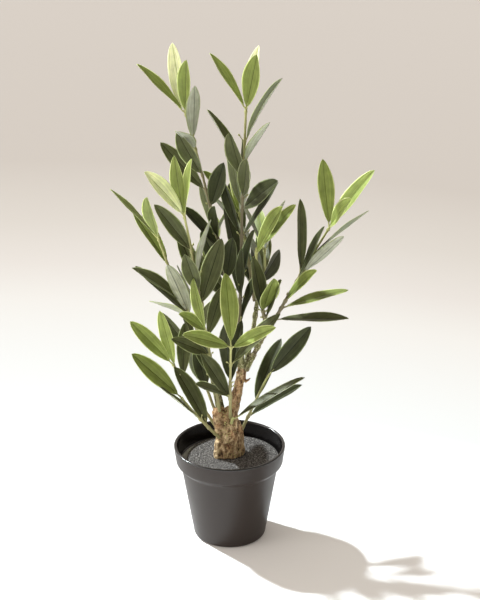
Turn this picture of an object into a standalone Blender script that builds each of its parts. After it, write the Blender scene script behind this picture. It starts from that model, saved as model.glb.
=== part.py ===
"""Artificial olive tree in a nursery pot, half a metre tall, one closed solid for each sub-part.

Metres, +Z up. The origin is the centre of the pot's flat underside, +X is to the right of the
front view and the plant's front faces -Y. All sizes and places below are in millimetres.
"""

import math
import random
from typing import NamedTuple

import bmesh
import bpy
import numpy as np
from mathutils import Vector
from mathutils.bvhtree import BVHTree


class Bough(NamedTuple):
    """A tapering limb: what carries it, the foot, middle and tip of its curve, and its end radii."""

    name: str
    carrier: str
    foot: tuple
    middle: tuple
    tip: tuple
    radii: tuple


class Spray(NamedTuple):
    """A mass of foliage on one curved stem.

    The whorl at the stem's tip has a turn and the openings of its three leaves. Each pair below
    it has its distance down from the tip, the turn and opening of one leaf, and the opening of
    the leaf opposite. Angles are in degrees: a turn of 0 is to the right, 90 to the back and 270
    to the front, and an opening of 0 is a missing leaf. In that order, rolls has the angle that
    each leaf is turned about its own midrib.
    """

    name: str
    carrier: str
    foot: tuple
    middle: tuple
    tip: tuple
    leaf_length: float
    seed: int
    whorl: tuple
    pairs: tuple
    rolls: tuple


MM = 0.001
SEAT_GAP = 0.3

# Nursery pot: a thin turned shell with a collar under its rim
RIM_RADIUS = 55.0
POT_HEIGHT = 97.5
POT_WALL = 2.0
RIM_LIP = 3.0
RIM_ROUNDING = 1.5
COLLAR_FOOT_RADIUS = 52.7
COLLAR_HEIGHT = 17.5
COLLAR_ROUNDING = 0.7
SHOULDER_RADIUS = 47.8
SHOULDER_HEIGHT = 5.0
BASE_RADIUS = 35.5
BASE_ROUNDING = 4.0
POT_FLOOR = 2.5
POT_SIDES = 44

# Foam disc that covers the filling, pushed over to the right-hand wall
FOAM_RADIUS = 45.5
FOAM_SHIFT = 3.5
FOAM_THICKNESS = 5.0
FOAM_TOP = 84.0
FOAM_ROUNDING = 2.0
FOAM_SIDES = 36
ROUND_BEND = 1 - math.sqrt(0.5)

# Trunk: a thick log with a sawn stub on its left and a thinner stem on its right.
# A log ring has its height, radius and shifts to the right and to the back.
GROUND = FOAM_TOP + SEAT_GAP
LOG_RINGS = (
    (GROUND, 15.6, -0.6, 7.0),
    (92.0, 14.9, -0.6, 7.0),
    (103.0, 13.6, 0.4, 4.5),
    (114.0, 13.3, -0.8, 3.0),
    (124.0, 10.2, -0.8, 1.5),
    (136.0, 6.0, 2.6, 0.5),
)
LOG_SIDES = 10
STUB_PATH = ((-7.0, -1.0, 108.0), (-9.6, -1.0, 124.0), (-10.8, -2.0, 136.0))
STUB_RADII = (7.5, 6.2)
STEM_PATH = ((2.0, 0.0, 108.0), (4.0, 0.0, 134.0), (13.0, 0.0, 181.0))
STEM_RADII = (6.6, 4.6)
STEM_SIDES = 8

BOUGHS = (
    Bough("bough_leader", "trunk", (12.0, -1.5, 178), (11.8, -1.0, 197), (10.2, 0.0, 216), (2.6, 2.2)),
    Bough("bough_right", "trunk", (16.6, -1.0, 178), (26.8, -4.0, 203), (38.5, -7.0, 227), (2.5, 2.1)),
    Bough("bough_upper_left", "trunk", (10.0, 2.5, 178), (8.8, 8.0, 203), (3.8, 11.5, 229), (2.4, 2.0)),
    Bough("bough_back", "trunk", (14.5, 3.0, 178), (22.0, 22.0, 204), (27.0, 36.0, 236), (2.4, 1.9)),
    Bough("bough_left", "trunk", (-9.0, 3.0, 128), (-17.5, 3.0, 172), (-25.0, -2.0, 214), (2.5, 2.0)),
    Bough("bough_back_left", "trunk", (-5.0, 6.0, 124), (-15.0, 22.0, 162), (-24.0, 36.0, 196), (2.4, 1.9)),
)
BOUGH_SIDES = 7

MASSES = (
    Spray("mass_top", "bough_leader", (10.2, -0.1, 214), (12.0, 3.3, 325), (15.8, 8.0, 436), 64, 3,
          (165, 36, 30, 12),
          ((31, 20, 26, 0), (51, 300, 40, 0), (58, 165, 36, 0), (66, 245, 38, 0), (85, 275, 38, 40),
           (96, 300, 54, 30), (123, 175, 20, 30), (160, 120, 20, 0), (173, 300, 16, 0),
           (185, 100, 30, 20), (210, 150, 28, 15)),
          (15, 150, -45, -30, 0, 0, 150, 105, 75, 90, -90, -105, -15, 15, 30, -75, 75, 0, 0)),
    Spray("mass_upper_left", "bough_upper_left", (4.2, 11.3, 227), (-15.0, 13.6, 328), (-40.0, 18.0, 430),
          62, 5,
          (175, 30, 32, 3),
          ((28, 305, 28, 0), (36, 260, 60, 0), (62, 255, 40, 0), (78, 165, 34, 0), (94, 315, 38, 0),
           (125, 280, 40, 30), (138, 230, 30, 0), (168, 300, 34, 36), (190, 200, 26, 0)),
          (-15, 135, -30, -15, 0, 165, 0, 60, 105, -75, -45, 120, 0, -60)),
    Spray("mass_left", "bough_left", (-24.0, -4.0, 212), (-31.0, -20.0, 285), (-40.5, -34.0, 348), 66, 7,
          (215, 24, 18, 6),
          ((40, 205, 20, 0), (70, 0, 14, 0), (102, 24, 26, 0), (86, 255, 22, 0)),
          (-60, 60, 0, -30, -45, 15, -150)),
    Spray("mass_far_left", "bough_left", (-26.5, 0.0, 212), (-46.0, 0.0, 256), (-66.5, 4.0, 312), 66, 11,
          (160, 25, 40, 0),
          ((30, 115, 32, 0), (69, 160, 30, 0), (83, 150, 26, 0), (86, 240, 40, 0), (84, 300, 10, 0)),
          (0, 135, 60, 0, 15, 0, -30)),
    Spray("mass_right", "bough_right", (39.2, -6.2, 225), (66.0, -12.5, 280), (93.0, -16.0, 330), 68, 13,
          (135, 45, 45, 5),
          ((30, 20, 25, 0), (55, 315, 20, 35), (62, 250, 16, 0), (86, 270, 30, 0), (95, 5, 45, 0),
           (108, 345, 56, 0)),
          (-15, 135, 0, -60, -15, 0, 120, 75, 0, -45)),
    Spray("mass_middle_right", "bough_right", (36.2, -8.6, 225), (28.5, -15.0, 267), (25.2, -18.0, 308.5),
          66, 17,
          (330, 35, 0, 0),
          ((5, 305, 30, 0), (35, 65, 85, 0), (65, 300, 35, 0), (75, 320, 30, 0), (70, 290, 10, 0)),
          (0, 45, 60, 135, 60, 180)),
    Spray("mass_front_left", "trunk", (-9.0, -3.0, 131), (-15.5, -20.0, 185), (-21.5, -34.0, 234), 56,
          19,
          (240, 35, 0, 15),
          ((30, 215, 42, 0), (9, 50, 38, 0), (62, 110, 34, 0)),
          (-60, -45, -30, 30, 0)),
    Spray("mass_front", "trunk", (1.0, -5.5, 129), (1.0, -34.0, 174), (2.0, -56.0, 228), 64, 23,
          (95, 40, 50, 45),
          ((70, 210, 40, 0), (55, 80, 40, 0), (75, 160, 25, 0), (25, 40, 45, 0), (50, 110, 20, 0)),
          (0, -30, 45, -15, -15, -15, -30, -45)),
    Spray("mass_lower_left", "trunk", (-12.0, 4.0, 112), (-34.0, 5.0, 148), (-55.0, 0.0, 184), 60,
          29,
          (145, 15, 0, 0),
          ((5, 50, 25, 0), (20, 40, 40, 0)),
          (-30, 15, 60)),
    Spray("mass_basal_left", "trunk", (-10.0, -7.0, 108), (-30.0, -22.0, 138), (-46.0, -30.0, 163), 74,
          31,
          (160, 15, 0, 0),
          ((35, 255, 10, 0), (50, 90, 30, 0)),
          (0, -15, 45)),
    Spray("mass_basal_right", "trunk", (8.0, 6.0, 100), (24.0, 10.0, 136), (37.8, 0.0, 172), 68, 37,
          (35, 25, 0, 0),
          ((40, 85, 35, 0), (55, 40, 55, 0)),
          (15, -45, -30)),
    Spray("mass_low_right", "trunk", (2.0, -7.0, 124), (2.6, -10.0, 128), (3.5, -13.0, 132), 84, 41,
          (25, 0, 0, 0),
          ((2, 25, 65, 0),),
          (-30,)),
    Spray("mass_back_right", "bough_back", (29.0, 36.0, 234), (34.0, 48.0, 256), (34.0, 60.0, 280), 60,
          43,
          (95, 32, 24, 30),
          ((24, 100, 30, 0), (30, 200, 34, 0), (40, 120, 38, 0)),
          (0, 0, 0, 0, 0, 0)),
    Spray("mass_back_high", "bough_back", (24.5, 38.0, 234), (18.0, 52.0, 274), (10.0, 56.0, 318), 60, 47,
          (80, 30, 26, 30),
          ((26, 75, 32, 30), (52, 110, 36, 0), (72, 60, 36, 34)),
          (0, 0, 0, 0, 0, 0, 0, 0)),
    Spray("mass_back_left", "bough_back_left", (-24.0, 36.0, 194), (-27.0, 54.0, 230), (-26.0, 70.0, 262),
          60, 53,
          (75, 30, 0, 28),
          ((26, 150, 30, 34), (52, 50, 60, 34)),
          (30, 0, 0, 0, -30, 165)),
    Spray("mass_low_back", "trunk", (-7.0, 13.0, 108), (-22.0, 25.0, 144), (-34.0, 32.0, 180), 60, 59,
          (215, 22, 30, 28),
          ((28, 280, 34, 0), (36, 100, 44, 40)),
          (-150, 15, 45, 180, -75, 180)),
)
STEM_END_RADII = (1.7, 1.0)
TWIG_SIDES = 5
RING_SPACING = 16.0
STEM_STEP = 4.0

# Leaf: a thin lens folded along its midrib, with a short stalk. Lengths along it are shares.
LEAF_WIDTH_SHARE = 0.27
LEAF_THICKNESS = 1.1
LEAF_THINNING = 0.4
LEAF_FOLD = 0.30
LEAF_FULLNESS = 0.62
LEAF_SKEW = 1.12
LEAF_STATIONS = (0.0, 0.06, 0.25, 0.46, 0.67, 0.87)
STALK_SHARE = 0.07
STALK_HALF_WIDTH = 0.75

# How leaves differ from the rule: shares of the length, degrees of lean and twist, and bow
LENGTH_RANGE = (0.90, 1.08)
LEAN_RANGE = (-3, 3)
TWIST_RANGE = (-35, 35)
BOW_RANGE = (-0.10, 0.04)
DODGE_TURNS = (0, 14, -14, 28, -28, 42, -42, 60, -60)
FRONT_LIGHT = np.array((-0.25, -0.72, 0.65))
FACE_TURN = 0.5

POT_COLOUR = (0.050, 0.046, 0.045, 1.0)
CEMENT_COLOUR = (0.42, 0.41, 0.39, 1.0)
FOAM_COLOUR = (0.16, 0.16, 0.17, 1.0)
BARK_COLOUR = (0.34, 0.22, 0.12, 1.0)
BOUGH_COLOUR = (0.22, 0.20, 0.09, 1.0)
LEAF_COLOUR = (0.10, 0.17, 0.06, 1.0)


def clear_scene():
    """Remove every object of the open scene."""
    for item in list(bpy.data.objects):
        bpy.data.objects.remove(item, do_unlink=True)


def plain_material(name, colour, roughness):
    """Make a Principled material of one colour."""
    material = bpy.data.materials.new(name)
    material.use_nodes = True
    shader = material.node_tree.nodes["Principled BSDF"]
    shader.inputs["Base Color"].default_value = colour
    shader.inputs["Roughness"].default_value = roughness
    return material


def mesh_object(name, points, faces, material=None):
    """Make an object from points in millimetres and put it in the scene."""
    mesh = bpy.data.meshes.new(name)
    mesh.from_pydata((np.asarray(points) * MM).tolist(), [], faces)
    item = bpy.data.objects.new(name, mesh)
    bpy.context.scene.collection.objects.link(item)
    if material is not None:
        mesh.materials.append(material)
    return item


def turned_solid(name, profile, sides, centre_x, material):
    """Spin a profile of (radius, height) points about a vertical axis into a closed solid."""
    form = bmesh.new()
    points = [form.verts.new((radius * MM, 0.0, height * MM)) for radius, height in profile]
    edges = [form.edges.new(pair) for pair in zip(points, points[1:])]
    bmesh.ops.spin(form, geom=points + edges, cent=(0, 0, 0), axis=(0, 0, 1), angle=2 * math.pi, steps=sides,
                   use_merge=True)
    bmesh.ops.remove_doubles(form, verts=form.verts, dist=0.01 * MM)
    bmesh.ops.recalc_face_normals(form, faces=form.faces)
    bmesh.ops.translate(form, verts=form.verts, vec=(centre_x * MM, 0, 0))
    mesh = bpy.data.meshes.new(name)
    form.to_mesh(mesh)
    form.free()
    mesh.shade_smooth()
    mesh.set_sharp_from_angle(angle=math.radians(35))
    mesh.materials.append(material)
    item = bpy.data.objects.new(name, mesh)
    bpy.context.scene.collection.objects.link(item)
    return item


def collar_foot():
    """Height at which the collar ends and the shoulder begins."""
    return POT_HEIGHT - COLLAR_HEIGHT


def shoulder_foot():
    """Height at which the shoulder ends and the body begins."""
    return collar_foot() - SHOULDER_HEIGHT


def pot_radius(height):
    """Outer radius of the pot at a height: body taper, shoulder slope, then collar taper."""
    heights = (0.0, shoulder_foot(), collar_foot(), POT_HEIGHT)
    radii = (BASE_RADIUS, SHOULDER_RADIUS, COLLAR_FOOT_RADIUS, RIM_RADIUS)
    return float(np.interp(height, heights, radii))


def rounded_corner(radius, height, rounding, up):
    """Three points of a profile's outer corner, from its lower end; up is 1 for a top corner."""
    bend = ROUND_BEND * rounding
    side, middle = (radius, height - up * rounding), (radius - bend, height - up * bend)
    corner = [side, middle, (radius - rounding, height)]
    return corner if up > 0 else corner[::-1]


def build_pot(material):
    """Turn the pot's shell: outside from the underside's centre up, over the lip, and down inside."""
    outside = [(0.0, 0.0)] + rounded_corner(pot_radius(BASE_ROUNDING), 0.0, BASE_ROUNDING, -1)
    outside += [(SHOULDER_RADIUS, shoulder_foot())]
    outside += [(COLLAR_FOOT_RADIUS - COLLAR_ROUNDING, collar_foot() - COLLAR_ROUNDING)]
    outside += [(COLLAR_FOOT_RADIUS, collar_foot() + COLLAR_ROUNDING)]
    outside += rounded_corner(RIM_RADIUS, POT_HEIGHT, RIM_ROUNDING, 1)
    lip = [(RIM_RADIUS - RIM_LIP, POT_HEIGHT - ROUND_BEND * RIM_LIP)]
    levels = (POT_HEIGHT - 2 * RIM_LIP, collar_foot(), shoulder_foot(), POT_FLOOR)
    inside = [(pot_radius(level) - POT_WALL, level) for level in levels]
    turned_solid("pot", outside + lip + inside + [(0.0, POT_FLOOR)], POT_SIDES, 0.0, material)


def build_filling(cement, foam):
    """Fill the pot with a cement plug up to the foam disc, and lay the disc on it."""
    foam_foot = FOAM_TOP - FOAM_THICKNESS
    plug_foot = POT_FLOOR + SEAT_GAP
    plug_top = foam_foot - SEAT_GAP
    clear = POT_WALL + 2 * SEAT_GAP
    plug = [(0.0, plug_foot)]
    plug += [(pot_radius(level) - clear, level) for level in (plug_foot, shoulder_foot(), plug_top)]
    turned_solid("ballast", plug + [(0.0, plug_top)], POT_SIDES, 0.0, cement)
    disc = [(0.0, foam_foot), (FOAM_RADIUS, foam_foot)]
    disc += rounded_corner(FOAM_RADIUS, FOAM_TOP, FOAM_ROUNDING, 1)
    turned_solid("foam_disc", disc + [(0.0, FOAM_TOP)], FOAM_SIDES, FOAM_SHIFT, foam)


def curve_through(foot, middle, tip, count):
    """Points of the quadratic curve that leaves the foot, passes the middle and ends at the tip."""
    foot, middle, tip = np.array(foot, float), np.array(middle, float), np.array(tip, float)
    handle = 2 * middle - (foot + tip) / 2
    along = np.linspace(0, 1, count)[:, None]
    return (1 - along) ** 2 * foot + 2 * along * (1 - along) * handle + along ** 2 * tip


def tube(path, radii, sides):
    """Carry a regular polygon along a path, turning its frame as little as possible; closed ends."""
    path = np.asarray(path, float)
    tangents = np.gradient(path, axis=0)
    tangents /= np.linalg.norm(tangents, axis=1)[:, None]
    side = np.cross(tangents[0], (0.0, 1.0, 0.0))
    points = []
    for centre, tangent, radius in zip(path, tangents, radii):
        side = side - tangent * side.dot(tangent)
        side /= np.linalg.norm(side)
        other = np.cross(tangent, side)
        for step in range(sides):
            angle = 2 * math.pi * step / sides
            points.append(centre + radius * (math.cos(angle) * side + math.sin(angle) * other))
    faces = []
    for ring in range(len(path) - 1):
        for step in range(sides):
            here = ring * sides + step
            beside = ring * sides + (step + 1) % sides
            faces.append((here, beside, beside + sides, here + sides))
    faces.append(tuple(range(sides))[::-1])
    last = (len(path) - 1) * sides
    faces.append(tuple(range(last, last + sides)))
    return np.array(points), faces


def tapered_limb(foot, middle, tip, radii, sides, grow=0.0):
    """A curved limb that tapers from its foot to its tip, made thicker and longer by grow."""
    count = max(4, round(math.dist(foot, tip) / RING_SPACING) + 1)
    path = curve_through(foot, middle, tip, count)
    ending = path[-1] - path[-2]
    path[-1] += ending / np.linalg.norm(ending) * grow
    return tube(path, np.linspace(radii[0], radii[1], count) + grow, sides)


def log_solid(grow=0.0):
    """The thick foot of the trunk as rings of given height, radius and shifts; the lowest is level."""
    path = [(right, back, height) for height, radius, right, back in LOG_RINGS]
    return tube(path, [radius + grow for height, radius, right, back in LOG_RINGS], LOG_SIDES)


def trunk_forms(grow=0.0):
    """The three forms that make the trunk: log, sawn stub and stem."""
    stub = tapered_limb(*STUB_PATH, STUB_RADII, STEM_SIDES, grow)
    stem = tapered_limb(*STEM_PATH, STEM_RADII, STEM_SIDES, grow)
    return [log_solid(grow), stub, stem]


def combine(item, others, operation):
    """Apply one Boolean of an object with a collection of others, then remove the others."""
    group = bpy.data.collections.new(item.name + "_operands")
    bpy.context.scene.collection.children.link(group)
    for other in others:
        group.objects.link(other)
        bpy.context.scene.collection.objects.unlink(other)
    boolean = item.modifiers.new("join", "BOOLEAN")
    boolean.operand_type = "COLLECTION"
    boolean.collection = group
    boolean.operation = operation
    boolean.solver = "EXACT"
    depsgraph = bpy.context.evaluated_depsgraph_get()
    joined = bpy.data.meshes.new_from_object(item.evaluated_get(depsgraph))
    item.modifiers.clear()
    item.data = joined
    for other in others:
        bpy.data.objects.remove(other, do_unlink=True)
    bpy.data.collections.remove(group)


def build_trunk(material):
    """Fuse the trunk's three forms into one solid with a flat foot on the foam."""
    log, stub, stem = [mesh_object("trunk", *form, material) for form in trunk_forms()]
    combine(log, [stub, stem], "UNION")


def bough_form(bough, grow=0.0):
    """The points and faces of one bough, made thicker and longer by grow."""
    return tapered_limb(bough.foot, bough.middle, bough.tip, bough.radii, BOUGH_SIDES, grow)


def seat_on(item, carrier):
    """Cut an object clear of the limb that carries it, with the seat's gap left between them."""
    if carrier == "trunk":
        forms = trunk_forms(SEAT_GAP)
    else:
        forms = [bough_form(bough, SEAT_GAP) for bough in BOUGHS if bough.name == carrier]
    combine(item, [mesh_object("cutter", *form) for form in forms], "DIFFERENCE")


def build_boughs(material):
    """Make each bough as one tapering limb cut to fit the trunk."""
    for bough in BOUGHS:
        seat_on(mesh_object(bough.name, *bough_form(bough), material), bough.carrier)


def leaf_half_width(along, width):
    """Half the leaf's width at a share of its length: a stalk, then a full sine swell that is widest
    just past the blade's middle."""
    blade = max(0.0, (along - STALK_SHARE) / (1 - STALK_SHARE))
    return max(STALK_HALF_WIDTH, 0.5 * width * math.sin(math.pi * blade ** LEAF_SKEW) ** LEAF_FULLNESS)


def leaf_solid(root, direction, normal, length, bow, grow=0.0):
    """One leaf as four-sided sections along its midrib, folded up at both edges, ending in a point."""
    side = np.cross(direction, normal)
    width = length * LEAF_WIDTH_SHARE
    points = []
    for along in LEAF_STATIONS:
        rib = root + direction * length * along + normal * bow * length * along ** 2
        half = leaf_half_width(along, width)
        lift = normal * LEAF_FOLD * (half - STALK_HALF_WIDTH)
        thick = 0.5 * LEAF_THICKNESS * (1 - LEAF_THINNING * along)
        points.append(rib + side * (half + grow) + lift)
        points.append(rib + normal * (thick + grow))
        points.append(rib - side * (half + grow) + lift)
        points.append(rib - normal * (thick + grow))
    points.append(root + direction * (length + grow) + normal * bow * length)
    faces = [(0, 1, 2, 3)]
    for ring in range(len(LEAF_STATIONS) - 1):
        for step in range(4):
            here = 4 * ring + step
            beside = 4 * ring + (step + 1) % 4
            faces.append((here, here + 4, beside + 4, beside))
    last = 4 * (len(LEAF_STATIONS) - 1)
    for step in range(4):
        faces.append((last + step, len(points) - 1, last + (step + 1) % 4))
    return np.array(points), faces


def stem_frame(path, distance):
    """Point and axes (along, right, back) on a stem at a distance back from its tip."""
    steps = np.linalg.norm(np.diff(path, axis=0), axis=1)
    from_tip = np.concatenate([[0.0], np.cumsum(steps[::-1])])
    places = np.clip((distance, distance - STEM_STEP, distance + STEM_STEP), 0.0, from_tip[-1])
    point, ahead, behind = [
        np.array([np.interp(place, from_tip, path[::-1, axis]) for axis in range(3)]) for place in places]
    along = (ahead - behind) / np.linalg.norm(ahead - behind)
    right = np.array((1.0, 0.0, 0.0)) - along * along[0]
    right /= np.linalg.norm(right)
    return point, along, right, np.cross(along, right)


def leaf_placing(frame, turn, opening, twist):
    """Direction and upper normal of a leaf: it leaves the stem at a turn and an opening, and its
    upper face, which starts out towards the stem, turns part of the way to the light."""
    point, along, right, back = frame
    outward = math.cos(turn) * right + math.sin(turn) * back
    direction = math.cos(opening) * along + math.sin(opening) * outward
    normal = math.sin(opening) * along - math.cos(opening) * outward
    normal = normal + FACE_TURN * (FRONT_LIGHT - direction * FRONT_LIGHT.dot(direction))
    normal /= np.linalg.norm(normal)
    side = np.cross(direction, normal)
    return direction, math.cos(twist) * normal + math.sin(twist) * side


def tree_of(form):
    """A search tree of a form's faces, for finding what it touches."""
    points, faces = form
    return BVHTree.FromPolygons([Vector(point) for point in points], faces)


class Crowd:
    """All limbs and leaves made so far, each with the mass that owns it."""

    def __init__(self):
        self.members = []

    def add(self, owner, form):
        """Take in one more form of a mass or limb."""
        self.members.append((owner, tree_of(form)))

    def is_clear(self, owner, form):
        """True when a form touches nothing that another mass or limb owns."""
        tree = tree_of(form)
        return not any(tree.overlap(other) for name, other in self.members if name != owner)


def leaf_spots(whorl, pairs):
    """Distance from the tip, turn and opening of each leaf: a whorl of three, then the pairs."""
    turn, *openings = whorl
    spots = [(0.5 + step, turn + 120 * step, opening) for step, opening in enumerate(openings)]
    for distance, turn, opening, opposite in pairs:
        spots.append((distance, turn, opening))
        spots.append((distance, turn + 180, opposite))
    return [spot for spot in spots if spot[2] > 0]


def mass_leaves(mass, crowd):
    """Grow a mass's leaves by a seeded rule, and skip those that find no clear place."""
    draw = random.Random(mass.seed)
    path = curve_through(mass.foot, mass.middle, mass.tip, 40)
    leaves = []
    for (distance, turn, opening), roll in zip(leaf_spots(mass.whorl, mass.pairs), mass.rolls):
        frame = stem_frame(path, distance)
        length = mass.leaf_length * draw.uniform(*LENGTH_RANGE)
        lean = math.radians(opening + draw.uniform(*LEAN_RANGE))
        twist = math.radians(roll + draw.uniform(*TWIST_RANGE))
        bow = draw.uniform(*BOW_RANGE)
        for dodge in DODGE_TURNS:
            direction, normal = leaf_placing(frame, math.radians(turn + dodge), lean, twist)
            if crowd.is_clear(mass.name, leaf_solid(frame[0], direction, normal, length, bow, 2 * SEAT_GAP)):
                form = leaf_solid(frame[0], direction, normal, length, bow)
                crowd.add(mass.name, form)
                leaves.append(form)
                break
    return leaves


def build_masses(wood, material):
    """Grow every mass in turn: a stem cut to fit its carrier, with its leaves fused on."""
    crowd = Crowd()
    for form in trunk_forms():
        crowd.add("trunk", form)
    for bough in BOUGHS:
        crowd.add(bough.name, bough_form(bough))
    stems = []
    for mass in MASSES:
        form = tapered_limb(mass.foot, mass.middle, mass.tip, STEM_END_RADII, TWIG_SIDES)
        crowd.add(mass.name, form)
        stems.append(mesh_object(mass.name, *form, wood))
        seat_on(stems[-1], mass.carrier)
    for mass, stem in zip(MASSES, stems):
        leaves = mass_leaves(mass, crowd)
        combine(stem, [mesh_object(mass.name + "_leaf", *form, material) for form in leaves], "UNION")


def build():
    """Build every sub-part of the potted tree."""
    clear_scene()
    build_pot(plain_material("pot_plastic", POT_COLOUR, 0.5))
    build_filling(plain_material("cement", CEMENT_COLOUR, 0.9), plain_material("foam", FOAM_COLOUR, 0.95))
    build_trunk(plain_material("bark", BARK_COLOUR, 0.85))
    build_boughs(plain_material("bough_bark", BOUGH_COLOUR, 0.7))
    stem_plastic = plain_material("stem_plastic", BOUGH_COLOUR, 0.6)
    build_masses(stem_plastic, plain_material("leaf_plastic", LEAF_COLOUR, 0.5))


build()
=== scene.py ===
"""Looks of an artificial olive tree in its nursery pot, built over the frame of its solids.

Sizes and places are in millimetres in the frame's axes, and meshes are made from them in metres.
"""

import math
import random
from typing import NamedTuple

import bpy
import numpy as np
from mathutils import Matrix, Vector
from mathutils.bvhtree import BVHTree


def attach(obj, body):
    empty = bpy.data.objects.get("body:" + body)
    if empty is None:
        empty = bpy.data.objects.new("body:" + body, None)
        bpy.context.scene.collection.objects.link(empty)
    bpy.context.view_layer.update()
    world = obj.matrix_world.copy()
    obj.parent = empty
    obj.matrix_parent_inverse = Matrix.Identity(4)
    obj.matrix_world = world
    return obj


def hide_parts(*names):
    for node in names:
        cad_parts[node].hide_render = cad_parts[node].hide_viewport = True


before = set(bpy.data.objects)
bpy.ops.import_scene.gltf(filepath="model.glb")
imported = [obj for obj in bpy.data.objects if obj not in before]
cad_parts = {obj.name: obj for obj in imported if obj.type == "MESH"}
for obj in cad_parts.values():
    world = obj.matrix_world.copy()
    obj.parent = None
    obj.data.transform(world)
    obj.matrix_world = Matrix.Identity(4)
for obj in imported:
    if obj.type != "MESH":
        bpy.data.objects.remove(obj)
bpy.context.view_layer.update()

# Camera and studio
# A still-life set: a pale floor that runs back, its colour painted darker with distance and towards
# the right as painted shade for light falling off, one clear lamp high behind the plant on its left,
# and a broad soft light in front. The long lens looks down.
CAMERA_PLACE = (0.0103, -1.407, 0.828)
CAMERA_TILT = 67.7
FOCAL_LENGTH = 96.0
SENSOR_WIDTH = 36.0
LAMP_TRAVEL = (0.576, -0.4505, -0.682)
LAMP_POWER = 7.5
LAMP_COLOUR = (0.90, 0.97, 1.0)
LAMP_SPREAD = 3.0
SOFT_PLACE = (-2.0, -0.8, 0.9)
SOFT_AIM = (0.0, 0.0, 0.2)
SOFT_SIZE = 1.2
SOFT_POWER = 13.0
SOFT_COLOUR = (1.0, 0.94, 0.90)
SKY_COLOUR = (0.72, 0.65, 0.575)
SKY_LEVELS = ((0.50, (1.50, 1.50, 1.50)), (0.62, (1.42, 1.42, 1.42)), (1.00, (0.58, 0.58, 0.58)))
SKY_SIDE = 0.30
FLOOR_HALF = 6.0
FLOOR_NEAR, FLOOR_FAR = 0.0, 2.6
FLOOR_FALLOFF_SLANT = 0.45
# Painted shade on the floor: its colour is brightest in front and round the pot, and darker further back
# and to the right, standing in for light falling off.
FLOOR_PAINTED_FALLOFF = (
    (0.02, (0.90, 0.90, 0.90)),
    (0.12, (0.455, 0.455, 0.452)),
    (0.235, (0.427, 0.404, 0.384)),
    (0.29, (0.390, 0.357, 0.334)),
    (0.36, (0.353, 0.320, 0.292)),
    (0.48, (0.312, 0.277, 0.250)),
    (1.00, (0.325, 0.289, 0.262)),
)

bpy.context.scene.view_settings.view_transform = "Standard"


def place_object(name, data):
    """Put an object with this data in the scene, at the origin."""
    item = bpy.data.objects.new(name, data)
    bpy.context.scene.collection.objects.link(item)
    return item


def add_node(tree, kind, inputs=None, **settings):
    """Add a shader node. An input that is a socket is linked, and any other input is set."""
    node = tree.nodes.new(kind)
    for key, value in settings.items():
        setattr(node, key, value)
    for key, value in (inputs or {}).items():
        if isinstance(value, bpy.types.NodeSocket):
            tree.links.new(value, node.inputs[key])
        else:
            node.inputs[key].default_value = value
    return node


def add_ramp(tree, factor, shades):
    """Add a colour ramp over rows of (position, colour) and return its colour."""
    ramp = add_node(tree, "ShaderNodeValToRGB", {"Fac": factor})
    stops = ramp.color_ramp.elements
    while len(stops) < len(shades):
        stops.new(1.0)
    for stop, (position, colour) in zip(stops, shades):
        stop.position = position
        stop.color = (*colour, 1.0)
    return ramp.outputs["Color"]


def add_maths(tree, operation, *values):
    """Add a math node over sockets or numbers and return its value."""
    return add_node(tree, "ShaderNodeMath", dict(enumerate(values)), operation=operation).outputs[0]


def add_range(tree, value, low, high, to_low=0.0, to_high=1.0):
    """Add a node that carries a value from one range to another and return its result."""
    inputs = {"Value": value, "From Min": low, "From Max": high, "To Min": to_low, "To Max": to_high}
    return add_node(tree, "ShaderNodeMapRange", inputs).outputs["Result"]


def new_material(name, colour, roughness, **sockets):
    """Make a Principled material with plain numbers on its sockets; give it, its tree and shader."""
    material = bpy.data.materials.new(name)
    material.use_nodes = True
    tree = material.node_tree
    shader = tree.nodes["Principled BSDF"]
    shader.inputs["Base Color"].default_value = (*colour, 1.0)
    shader.inputs["Roughness"].default_value = roughness
    for key, value in sockets.items():
        shader.inputs[key.replace("_", " ")].default_value = value
    return material, tree, shader


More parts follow.
